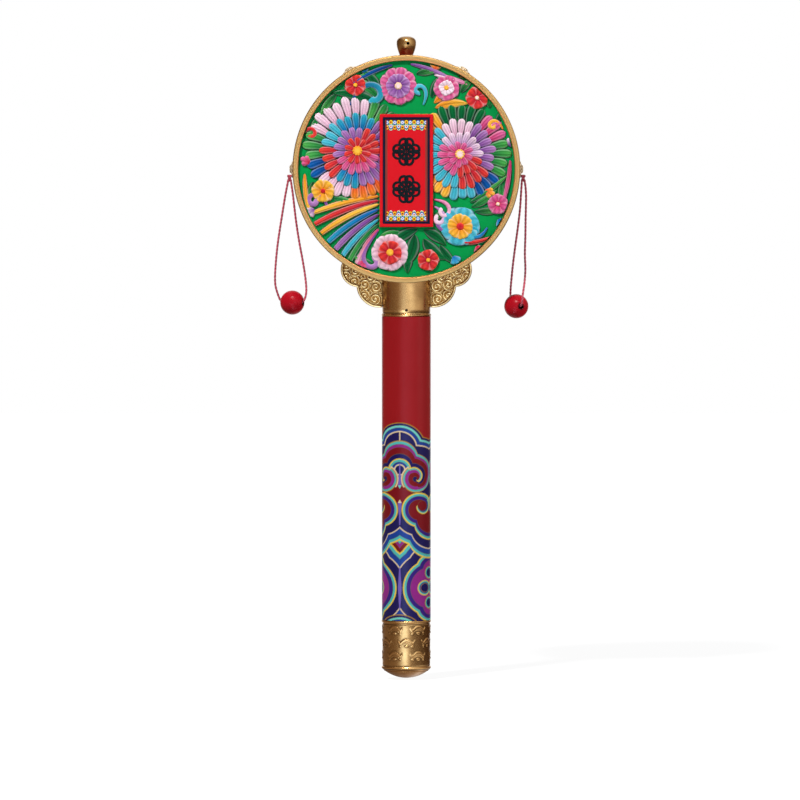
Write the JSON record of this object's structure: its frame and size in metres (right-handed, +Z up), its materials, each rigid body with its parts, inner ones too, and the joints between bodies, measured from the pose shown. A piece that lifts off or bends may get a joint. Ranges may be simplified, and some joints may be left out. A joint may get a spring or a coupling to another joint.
{
  "type": "pellet drum rattle",
  "caption": "Flat round hand drum with relief face and gold rims on a lacquered handle with brass sleeves; a wooden bead swings on a cord loop at each side",
  "frame": {"origin": "On the handle's axis, half way along the part of the handle that shows between the two brass sleeves, where a hand holds it", "axes": "+Z runs up the handle to the drum, the drum's decorated head faces -Y, +X is to the right as seen from the front"},
  "size_m": [0.1125, 0.0361, 0.2837],
  "materials": {
    "red_lacquer": "satin red lacquer on turned wood, printed cloud bands on the lower part",
    "antique_brass": "aged brass, half polished",
    "cast_brass": "cast and gilded, dark in the recesses",
    "dark_brad": "blackened",
    "shell_lacquer": "satin red lacquer on a wooden hoop",
    "green_head": "matt green lacquer on the stretched head",
    "gold_rim": "brushed pale gold",
    "plaque_red": "matt red enamel with painted border lines",
    "relief_pink": "matt raised lacquer, shaded from white to deep pink",
    "relief_green": "matt raised lacquer, green and turquoise",
    "relief_orange": "matt raised lacquer, orange and purple",
    "bare_wood": "bare turned wood",
    "cord_red": "twisted waxed cord",
    "bead_red": "satin red paint on turned wood"
  },
  "bodies": {
    "drum": {"handle_shaft": "red_lacquer", "end_cap_sleeve": "antique_brass", "end_cap_dome": "antique_brass", "neck_ferrule": "antique_brass", "ferrule_brad": "dark_brad", "cloud_bracket_left": "cast_brass", "cloud_bracket_right": "cast_brass", "drum_shell": "shell_lacquer", "front_skin": "green_head", "rear_skin": "green_head", "front_rim": "gold_rim", "rear_rim": "gold_rim", "front_plaque": "plaque_red", "relief_blossoms": "relief_pink", "relief_leaves": "relief_green", "relief_tendrils": "relief_orange", "finial": "antique_brass", "through_rod": "bare_wood", "boss_left": "cast_brass", "boss_right": "cast_brass", "boss_upper_left": "cast_brass", "boss_upper_right": "cast_brass", "anchor_knot_left": "cord_red", "anchor_knot_right": "cord_red"},
    "left_knot": {"swivel_knot_left": "cord_red"},
    "right_knot": {"swivel_knot_right": "cord_red"},
    "left_pellet": {"cord_left": "cord_red", "bead_left": "bead_red"},
    "right_pellet": {"cord_right": "cord_red", "bead_right": "bead_red"}
  },
  "joints": [
    {"name": "left_sweep", "type": "hinge", "parent": "drum", "child": "left_knot", "pos_m": [-0.0516, 0, 0.1288], "axis": [0, 0, 1], "range_deg": [-90, 90]},
    {"name": "left_swing", "type": "hinge", "parent": "left_knot", "child": "left_pellet", "pos_m": [-0.0516, 0, 0.1288], "axis": [0, 1, 0], "range_deg": [0, 100]},
    {"name": "right_sweep", "type": "hinge", "parent": "drum", "child": "right_knot", "pos_m": [0.0516, 0, 0.1288], "axis": [0, 0, 1], "range_deg": [-90, 90]},
    {"name": "right_swing", "type": "hinge", "parent": "right_knot", "child": "right_pellet", "pos_m": [0.0516, 0, 0.1288], "axis": [0, -1, 0], "range_deg": [0, 100]}
  ]
}
